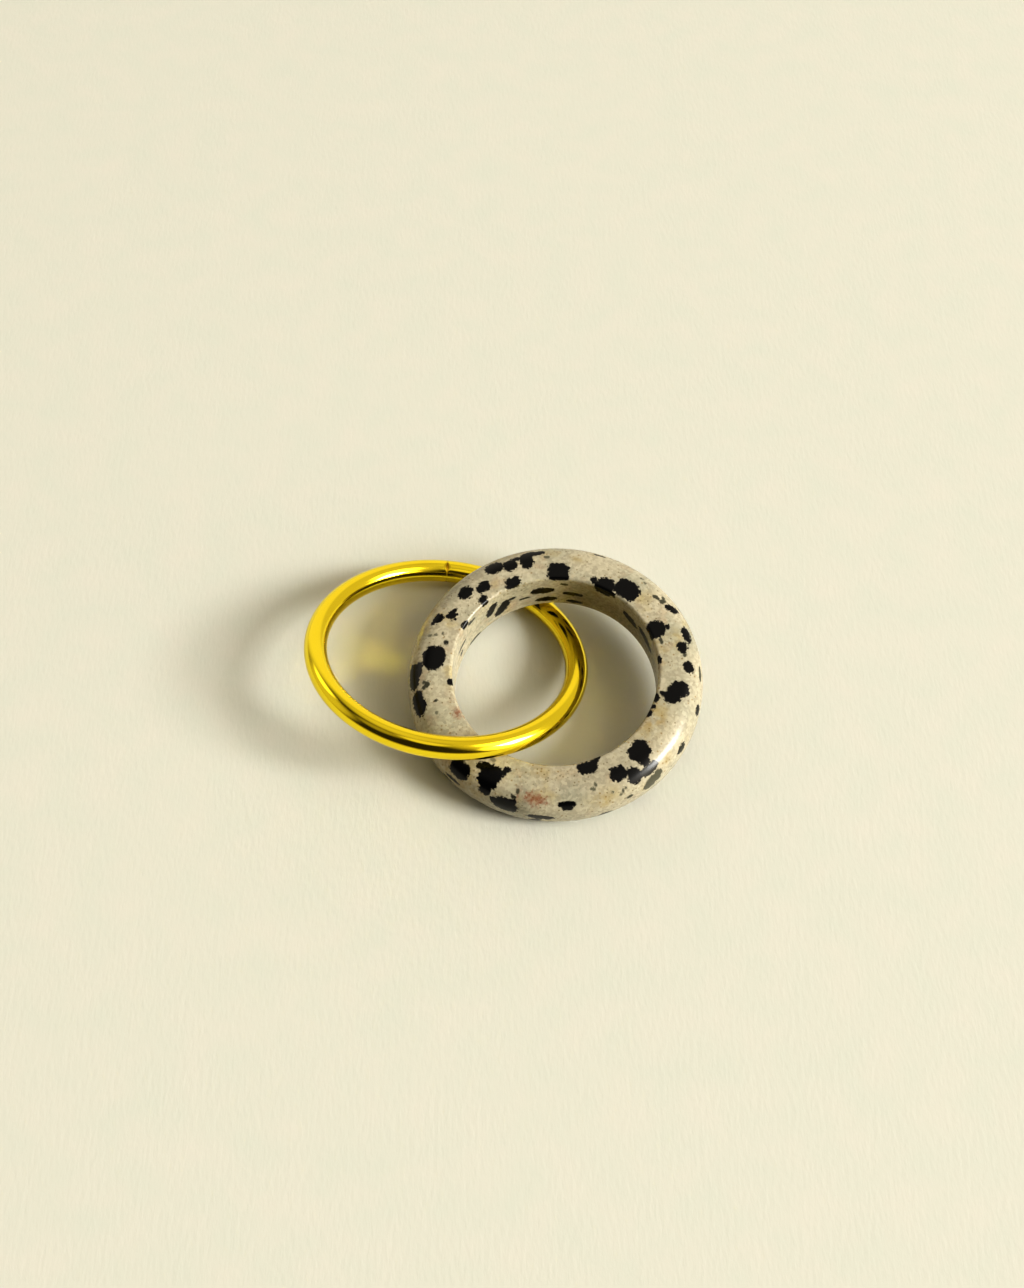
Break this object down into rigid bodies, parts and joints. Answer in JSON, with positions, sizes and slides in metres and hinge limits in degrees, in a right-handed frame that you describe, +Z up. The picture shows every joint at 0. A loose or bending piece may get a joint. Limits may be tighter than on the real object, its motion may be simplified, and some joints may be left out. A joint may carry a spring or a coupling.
{
  "type": "linked stackable ring",
  "caption": "Finger ring of linked bands: a thick rounded band of spotted stone and a round gold-coloured wire band through it, lying flat, worn side by side.",
  "frame": {"origin": "middle of the pair's outline seen from above, at the level of the surface it lies on", "axes": "+X from the gold band towards the stone band, along the pair; +Y away from the viewer of the picture; +Z up"},
  "size_m": [0.0338, 0.0266, 0.0083],
  "materials": {
    "spotted_stone": "polished",
    "gold_metal": "polished"
  },
  "bodies": {
    "root": {"stone_band": "spotted_stone", "gold_band": "gold_metal"}
  },
  "joints": []
}
